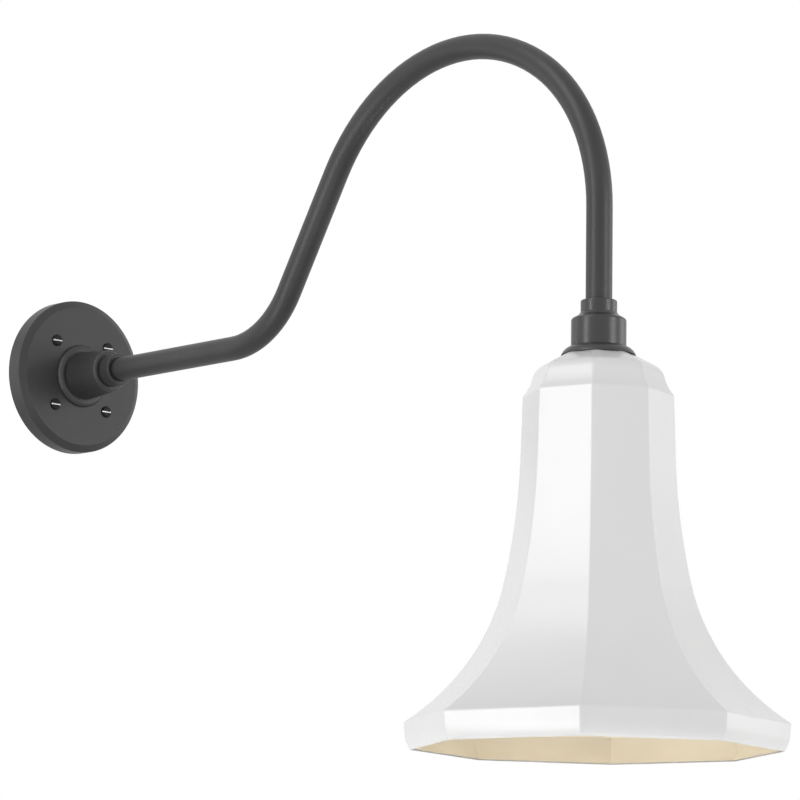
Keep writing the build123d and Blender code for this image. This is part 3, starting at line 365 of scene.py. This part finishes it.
# %% Bright slots in the plate's screws
screws = frame["nodes"]["plate_screws"].data
screws.materials.append(bare_slot)
screw_low, screw_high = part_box("plate_screws")
head_front = screw_low.y
slot_depth, slot_half, head_r = 0.0013, 0.0007, 0.005
SLACK = 0.00005
FACING = 0.5
rows = (screw_low.z + head_r, screw_high.z - head_r)
bright = 0
for face in screws.polygons:
    off_row = min(abs(face.center.z - row) for row in rows)
    in_slot = head_front + SLACK < face.center.y < head_front + slot_depth + SLACK
    if in_slot and off_row < slot_half + SLACK and abs(face.normal.y) > FACING:
        face.material_index = 1
        bright += 1
print("bright slot faces:", bright)

# %% [markdown]
# The shade is an eight-sided bell. Its outline down the middle of a side is a flat crown, a soft
# dome, a cove, a ridge, a long nearly straight wall, two arcs that flare out, and a band that turns
# in at the rim. The outline starts as one point: straight runs are extruded and arcs are spun, so
# its true radii are kept.

# %% Shade: steps for an outline
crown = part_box("shade")[1].z
outline = bmesh.new()


def outline_point(half, drop):
    """Point at a half width from the axis and a drop below the crown, given in millimetres."""
    return Vector((half / 1000, 0, crown - drop / 1000))


def run_to(end, half, drop):
    """Extrude the outline's last point straight to a new one."""
    end = bmesh.ops.extrude_vert_indiv(outline, verts=[end])["verts"][0]
    end.co = outline_point(half, drop)
    return end


def arc_to(end, half, drop, sag, steps):
    """Spin the outline's last point on an arc whose middle lies a sag towards the axis."""
    chord = outline_point(half, drop) - end.co
    outward = Vector((-chord.z, 0, chord.x)).normalized() * math.copysign(1, sag)
    bow = abs(sag) / 1000
    radius = chord.length_squared / (8 * bow) + bow / 2
    centre = end.co + chord / 2 + outward * (radius - bow)
    turn = 2 * math.asin(chord.length / 2 / radius)
    way = (0, -math.copysign(1, sag), 0)
    spun = bmesh.ops.spin(outline, geom=[end], cent=centre, axis=way, angle=turn, steps=steps)
    return spun["geom_last"][0]


# %% [markdown]
# The walk itself. Each point of the outline has a name and is a half width from the axis and a drop
# below the crown, in millimetres. The sags say how far the three arcs bow towards the axis.

# %% Shade: walk the outline
CROWN_HOLE, CROWN_EDGE = (20.0, 0), (27.6, 0)
DOME, COVE, RIDGE = (47.3, 11.2), (50.8, 25.4), (55.75, 32.8)
WALL_FOOT, FLARE = (57.16, 83.4), (68.82, 183.4)
BAND, BAND_FOOT, RIM = (140.56, 291.7), (140.16, 297.7), (135.56, 313.7)
UPPER_SAG, LOWER_SAG, RIM_SAG = 2.22, 12.52, -1.11
end = outline.verts.new(outline_point(*CROWN_HOLE))
end = run_to(end, *CROWN_EDGE)
dome = end = run_to(end, *DOME)
cove = end = run_to(end, *COVE)
ridge = end = run_to(end, *RIDGE)
end = run_to(end, *WALL_FOOT)
end = arc_to(end, *FLARE, sag=UPPER_SAG, steps=12)
band = end = arc_to(end, *BAND, sag=LOWER_SAG, steps=24)
end = run_to(end, *BAND_FOOT)
end = arc_to(end, *RIM, sag=RIM_SAG, steps=6)
print("outline ends", round(end.co.x * 1000, 2), "mm from the axis")

# %% [markdown]
# The outline's corners are rounded by bevelling their points. A bevel asks for a setback along the
# runs, which follows from the radius and the angle between the two runs.

# %% Shade: round the outline
def round_off(corner, radius_mm, segments):
    """Bevel one point of the outline into an arc."""
    runs = [edge.other_vert(corner).co - corner.co for edge in corner.link_edges]
    setback = radius_mm / 1000 / math.tan(runs[0].angle(runs[1]) / 2)
    bmesh.ops.bevel(
        outline,
        geom=[corner],
        offset=setback,
        offset_type="OFFSET",
        segments=segments,
        profile=0.5,
        affect="VERTICES",
        material=-1,
    )


round_off(dome, radius_mm=13.0, segments=8)
round_off(cove, radius_mm=28.0, segments=8)
round_off(ridge, radius_mm=1.6, segments=3)
round_off(band, radius_mm=2.2, segments=4)
print("outline has", len(outline.verts), "points")

# %% [markdown]
# Widening the outline by the ratio of a regular octagon's corner to its flat turns it into the line
# of a corner. Spun in eight steps it then gives eight flat-sided faces. The shade hangs a few
# degrees off square, as in the photograph, so the outline is turned first.

# %% Shade: spin eight sides
SIDES = 8
SHADE_TURN = math.radians(-5.6)
axis_y = sum(corner.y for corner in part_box("shade_cap")) / 2
bmesh.ops.scale(outline, vec=(1 / math.cos(math.pi / SIDES), 1, 1), verts=outline.verts)
turned = Matrix.Rotation(SHADE_TURN, 3, "Z")
bmesh.ops.rotate(outline, cent=(0, 0, 0), matrix=turned, verts=outline.verts)
bmesh.ops.spin(
    outline,
    geom=outline.verts[:] + outline.edges[:],
    cent=(0, 0, 0),
    axis=(0, 0, 1),
    angle=2 * math.pi,
    steps=SIDES,
    use_merge=True,
)
bmesh.ops.recalc_face_normals(outline, faces=outline.faces)
low_face = min(outline.faces, key=lambda face: face.calc_center_median().z)
from_axis = low_face.calc_center_median() * Vector((1, 1, 0))
print("rim faces outwards:", low_face.normal.dot(from_axis) > 0)

# %% [markdown]
# Pressed steel has no knife edges. The corner lines get a bevel weight: broad over the dome, where
# the enamel runs the sides together, and narrow below the ridge. Level edges get none.

# %% Shade: weigh the corners
SAME_HEIGHT = 1e-6
NARROW, BROAD_TO_MM, EASE_MM = 0.14, 5, 20
weight = outline.edges.layers.float.new("bevel_weight_edge")
for edge in outline.edges:
    heights = [vert.co.z for vert in edge.verts]
    if abs(heights[0] - heights[1]) < SAME_HEIGHT:
        continue
    drop_mm = (crown - sum(heights) / 2) * 1000
    edge[weight] = min(1.0, max(NARROW, 1.0 - (drop_mm - BROAD_TO_MM) / EASE_MM))
print("corner lines weighed:", sum(edge[weight] > 0 for edge in outline.edges))

# %% [markdown]
# Three modifiers finish the shade. Bevel rounds the corner lines by their weight, Solidify gives
# the sheet its thickness with its own inside and rim, and Weighted Normal keeps the sides flat.

# %% Shade: soft corners and sheet thickness
CORNER, SHEET = 0.005, 0.0016
bmesh.ops.translate(outline, vec=(0, axis_y, 0), verts=outline.verts)
enamels = [finishes["white_enamel"], cream_enamel, grey_rim]
shade = make_piece("bell_shade", outline, "shade_head", enamels)
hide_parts("shade")
corners = shade.modifiers.new("corners", "BEVEL")
corners.limit_method = "WEIGHT"
corners.width = CORNER
corners.segments = 4
corners.use_clamp_overlap = False
sheet = shade.modifiers.new("sheet", "SOLIDIFY")
sheet.thickness = SHEET
sheet.offset = -1
sheet.use_even_offset = True
sheet.material_offset = 1
sheet.material_offset_rim = 2
flats = shade.modifiers.new("flats", "WEIGHTED_NORMAL")
flats.keep_sharp = True

# %% [markdown]
# Inside the lampholder is a brass shell with a rolled thread for the lamp. The solid shows it as a
# plain wall. One thread is a wave of two arcs, so the profile is a column of waves, drawn upwards
# by spinning its last point.

# %% Lampholder: rolled thread
PITCH = 0.00363
shell_low, shell_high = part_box("screw_shell")
crest, neck_h, flange_r, neck_r = 0.0132, 0.0104, 0.007, 0.0115
neck_foot = shell_high.z - neck_h
WAVE_DEPTH, SPARE_WAVES = 0.0005, 3
WAVE_TURN = math.radians(120)
thread = bmesh.new()
tip = thread.verts.new((crest - WAVE_DEPTH, 0, shell_low.z - PITCH))
waves = math.ceil((neck_foot - shell_low.z) / PITCH) + SPARE_WAVES
chord = PITCH / 2
radius = chord / 2 / math.sin(WAVE_TURN / 2)
for half_wave in range(2 * waves):
    side = 1 if half_wave % 2 else -1
    centre = tip.co + Vector((-side * radius * math.cos(WAVE_TURN / 2), 0, chord / 2))
    arc = bmesh.ops.spin(
        thread, geom=[tip], cent=centre, axis=(0, -side, 0), angle=WAVE_TURN, steps=4
    )
    tip = arc["geom_last"][0]
print("one column of", waves, "waves has", len(thread.verts), "points")

# %% [markdown]
# The column is spun and climbs one pitch on the way round, so the merge joins each wave to the
# next. The ends are then cut off level, at the mouth and where the neck starts.

# %% Lampholder: spin and trim the thread
TURN_STEPS = 72
SEAM = 0.00002
bmesh.ops.spin(
    thread,
    geom=thread.verts[:] + thread.edges[:],
    cent=(0, 0, 0),
    axis=(0, 0, 1),
    dvec=(0, 0, PITCH / TURN_STEPS),
    angle=2 * math.pi,
    steps=TURN_STEPS,
)
bmesh.ops.remove_doubles(thread, verts=thread.verts, dist=SEAM)
for height, outward in ((shell_low.z, -1), (neck_foot, 1)):
    bmesh.ops.bisect_plane(
        thread,
        geom=thread.verts[:] + thread.edges[:] + thread.faces[:],
        plane_co=(0, 0, height),
        plane_no=(0, 0, outward),
        clear_outer=True,
    )
print("thread spans", round((neck_foot - shell_low.z) * 1000, 1), "mm")

# %% [markdown]
# Above the thread the shell steps in to a neck and a flange that is riveted to the ceramic. That
# part is a plain turned form, so its outline is extruded point by point and spun in the same bmesh.

# %% Lampholder: neck and flange
SHELL_SHEET = 0.0003
flange_z = shell_high.z - SHELL_SHEET
neck = [thread.verts.new((crest, 0, neck_foot))]
for radius, height in ((neck_r, neck_foot), (neck_r, flange_z), (flange_r, flange_z)):
    grown = bmesh.ops.extrude_vert_indiv(thread, verts=[neck[-1]])["verts"][0]
    grown.co = (radius, 0, height)
    neck.append(grown)
neck_edges = [edge for edge in thread.edges if edge.verts[0] in neck and edge.verts[1] in neck]
bmesh.ops.spin(
    thread,
    geom=neck + neck_edges,
    cent=(0, 0, 0),
    axis=(0, 0, 1),
    angle=2 * math.pi,
    steps=TURN_STEPS,
    use_merge=True,
)
bmesh.ops.recalc_face_normals(thread, faces=thread.faces)
bmesh.ops.translate(thread, vec=(0, axis_y, 0), verts=thread.verts)
shell = make_piece("threaded_shell", thread, "shade_head", [finishes["brass"]])
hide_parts("screw_shell")
rolled = shell.modifiers.new("rolled", "SOLIDIFY")
rolled.thickness = SHELL_SHEET
rolled.offset = 0

# %% [markdown]
# The contact in the middle of the lampholder stands on a small coil spring. A ring of wire is
# carried round and up by one spin with a climb per step. The spring shortens with the contact, so
# the piece squashes towards its fixed end.

# %% Lampholder: coil spring
spring_low, spring_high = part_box("contact_spring")
WIRE_R, TURNS, COIL_STEPS = 0.0003, 3, 40
coil_r = (spring_high.x - spring_low.x) / 2 - WIRE_R
climb = (spring_high.z - spring_low.z - 2 * WIRE_R) / (TURNS * COIL_STEPS)
coil = bmesh.new()
upright = Matrix.Rotation(math.pi / 2, 4, "X")
stand = Matrix.Translation((coil_r, 0, spring_low.z + WIRE_R)) @ upright
bmesh.ops.create_circle(coil, cap_ends=True, segments=12, radius=WIRE_R, matrix=stand)
bmesh.ops.spin(
    coil,
    geom=coil.verts[:] + coil.edges[:] + coil.faces[:],
    cent=(0, 0, 0),
    axis=(0, 0, 1),
    dvec=(0, 0, climb),
    angle=2 * math.pi * TURNS,
    steps=TURNS * COIL_STEPS,
)
bmesh.ops.recalc_face_normals(coil, faces=coil.faces)
bmesh.ops.translate(coil, vec=(0, axis_y, 0), verts=coil.verts)
spring = make_piece("coil_spring", coil, "shade_head", [finishes["spring_steel"]])
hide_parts("contact_spring")
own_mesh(spring)

# %% [markdown]
# The stage is a plain pale floor well below the light and a white surround. Both are bright for the
# camera and for reflections, and quieter in the light that they give, so pale enamel keeps its
# tone. A Light Path node tells those rays apart.

# %% Stage: rays that see the surround
def seen_rays(tree):
    """Socket that is 1 for camera, reflected and transmitted rays, and 0 for the rest."""
    rays = tree.nodes.new("ShaderNodeLightPath")
    seen = rays.outputs["Is Camera Ray"]
    for kind in ("Is Glossy Ray", "Is Transmission Ray"):
        either = tree.nodes.new("ShaderNodeMath")
        either.operation = "MAXIMUM"
        tree.links.new(seen, either.inputs[0])
        tree.links.new(rays.outputs[kind], either.inputs[1])
        seen = either.outputs["Value"]
    return seen


# %% [markdown]
# The floor is one large flat face with a matt, nearly even finish.

# %% Stage: floor
FLOOR_Z, FLOOR_HALF = -1.9, 60.0
floor_bm = bmesh.new()
at_floor = Matrix.Translation((0, 0, FLOOR_Z))
bmesh.ops.create_grid(floor_bm, x_segments=1, y_segments=1, size=FLOOR_HALF, matrix=at_floor)
floor_mesh = bpy.data.meshes.new("floor")
floor_bm.to_mesh(floor_mesh)
floor_bm.free()
floor = bpy.data.objects.new("floor", floor_mesh)
bpy.context.scene.collection.objects.link(floor)
pale_floor = make_finish(
    "pale_floor",
    grain,
    scales=(40.0, 2.0),
    tones=((0.80, 0.80, 0.80), (0.82, 0.82, 0.82)),
    roughness=(0.7, 0.8),
    relief_mm=0.01,
)
floor_mesh.materials.append(pale_floor)
print("floor at", FLOOR_Z, "m")

# %% [markdown]
# The floor's finish is mixed with a white glow for the rays that see it. Near the light the glow is
# only a share, so the light's shadow still shows. The share grows to the whole with distance, so
# the floor runs into the surround without a horizon.

# %% Stage: the floor's glow
GLOW_SHARE = 0.6
FADE_NEAR, FADE_FAR = 2.5, 9.0
ground, ground_links = pale_floor.node_tree.nodes, pale_floor.node_tree.links
place = ground.new("ShaderNodeTexCoord")
away = ground.new("ShaderNodeVectorMath")
away.operation = "LENGTH"
ground_links.new(place.outputs["Object"], away.inputs[0])
fade = ground.new("ShaderNodeMapRange")
fade.inputs["From Min"].default_value = FADE_NEAR
fade.inputs["From Max"].default_value = FADE_FAR
fade.inputs["To Min"].default_value = GLOW_SHARE
fade.inputs["To Max"].default_value = 1.0
ground_links.new(away.outputs["Value"], fade.inputs["Value"])
share = ground.new("ShaderNodeMath")
share.operation = "MULTIPLY"
ground_links.new(seen_rays(pale_floor.node_tree), share.inputs[0])
ground_links.new(fade.outputs["Result"], share.inputs[1])
glow = ground.new("ShaderNodeEmission")
blend = ground.new("ShaderNodeMixShader")
ground_links.new(share.outputs["Value"], blend.inputs["Fac"])
ground_links.new(ground["Principled BSDF"].outputs["BSDF"], blend.inputs[1])
ground_links.new(glow.outputs["Emission"], blend.inputs[2])
ground_links.new(blend.outputs["Shader"], ground["Material Output"].inputs["Surface"])
print("floor glows", GLOW_SHARE, "near the light and fully from", FADE_FAR, "m")

# %% [markdown]
# The surround is white for the rays that see it, and gives the object an even, quieter light.

# %% Stage: surround
QUIET = 0.35
world = bpy.data.worlds.new("surround")
bpy.context.scene.world = world
world.use_nodes = True
sky, sky_links = world.node_tree.nodes, world.node_tree.links
sky.clear()
quiet = sky.new("ShaderNodeBackground")
quiet.inputs["Color"].default_value = (QUIET, QUIET, QUIET, 1.0)
white = sky.new("ShaderNodeBackground")
white.inputs["Color"].default_value = (1.0, 1.0, 1.0, 1.0)
pick = sky.new("ShaderNodeMixShader")
sky_links.new(seen_rays(world.node_tree), pick.inputs["Fac"])
sky_links.new(quiet.outputs["Background"], pick.inputs[1])
sky_links.new(white.outputs["Background"], pick.inputs[2])
sky_out = sky.new("ShaderNodeOutputWorld")
sky_links.new(pick.outputs["Shader"], sky_out.inputs["Surface"])
print("surround gives", QUIET, "of white")

# %% [markdown]
# In the photograph one front side of the shade mirrors a tall bright panel on the left, and the
# others are lit evenly with a little more from the right. So there is a tall soft box on the left,
# where that side reflects it to the camera, and broad ones on the right, overhead and low in front.
# A small one under the shade fills its inside.

# %% Soft boxes
aim = Vector((0, axis_y, -0.2))


def soft_box(name, azimuth, elevation, distance, width, height, power, spread=180):
    """Area lamp on a circle round the shade, facing it."""
    lamp = bpy.data.lights.new(name, "AREA")
    lamp.shape = "RECTANGLE"
    lamp.size, lamp.size_y, lamp.energy = width, height, power
    lamp.spread = math.radians(spread)
    turn, rise = math.radians(azimuth), math.radians(elevation)
    way = Vector((math.cos(turn) * math.cos(rise), math.sin(turn) * math.cos(rise), math.sin(rise)))
    stand = bpy.data.objects.new(name, lamp)
    stand.location = aim + way * distance
    stand.rotation_euler = way.to_track_quat("Z", "Y").to_euler()
    stand.visible_camera = False
    bpy.context.scene.collection.objects.link(stand)
    print(name, "shines", round(power / (math.pi * width * height), 2), "times white")


soft_box("left_box", azimuth=170, elevation=-4, distance=2.2, width=0.30, height=2.8, power=22.5)
soft_box("high_box", azimuth=172, elevation=46, distance=3.6, width=1.5, height=1.8, power=26.0)
soft_box("right_box", azimuth=286, elevation=6, distance=2.2, width=0.8, height=1.4, power=16.5)
soft_box("right_edge", azimuth=336, elevation=6, distance=2.2, width=0.9, height=1.4, power=9.0)
soft_box("left_edge", azimuth=118, elevation=6, distance=2.2, width=0.6, height=1.4, power=2.0)
soft_box("front_low", azimuth=224, elevation=-25, distance=2.4, width=1.2, height=0.7, power=5.2)
soft_box(
    "low_box", azimuth=0, elevation=-90, distance=0.6, width=0.2, height=0.2, power=0.2, spread=34
)

# %% [markdown]
# The camera stands low, in front and to the left, with a long lens. Its place, turn and focal
# length were found from the photograph by matching the plate, the screws, the arm's edges and the
# shade's corners.

# %% Camera
SENSOR_MM, FOCAL_MM = 36.0, 177.006
STAND = (-2.21629, -2.8189, -0.6120)
PAN, TILT, ROLL = math.radians(-43.06), math.radians(90 + 9.48), math.radians(0.84)
lens = bpy.data.cameras.new("camera")
lens.sensor_fit = "HORIZONTAL"
lens.sensor_width = SENSOR_MM
lens.lens = FOCAL_MM
camera = bpy.data.objects.new("camera", lens)
camera.matrix_world = (
    Matrix.Translation(STAND)
    @ Matrix.Rotation(PAN, 4, "Z")
    @ Matrix.Rotation(TILT, 4, "X")
    @ Matrix.Rotation(ROLL, 4, "Z")
)
bpy.context.scene.collection.objects.link(camera)
bpy.context.scene.camera = camera
bpy.context.scene.view_settings.view_transform = "Standard"
print("camera is", round((camera.matrix_world.translation - aim).length, 2), "m from the shade")

# %% [markdown]
# Dressing the light doesn't change its size.

# %% The json module
import json
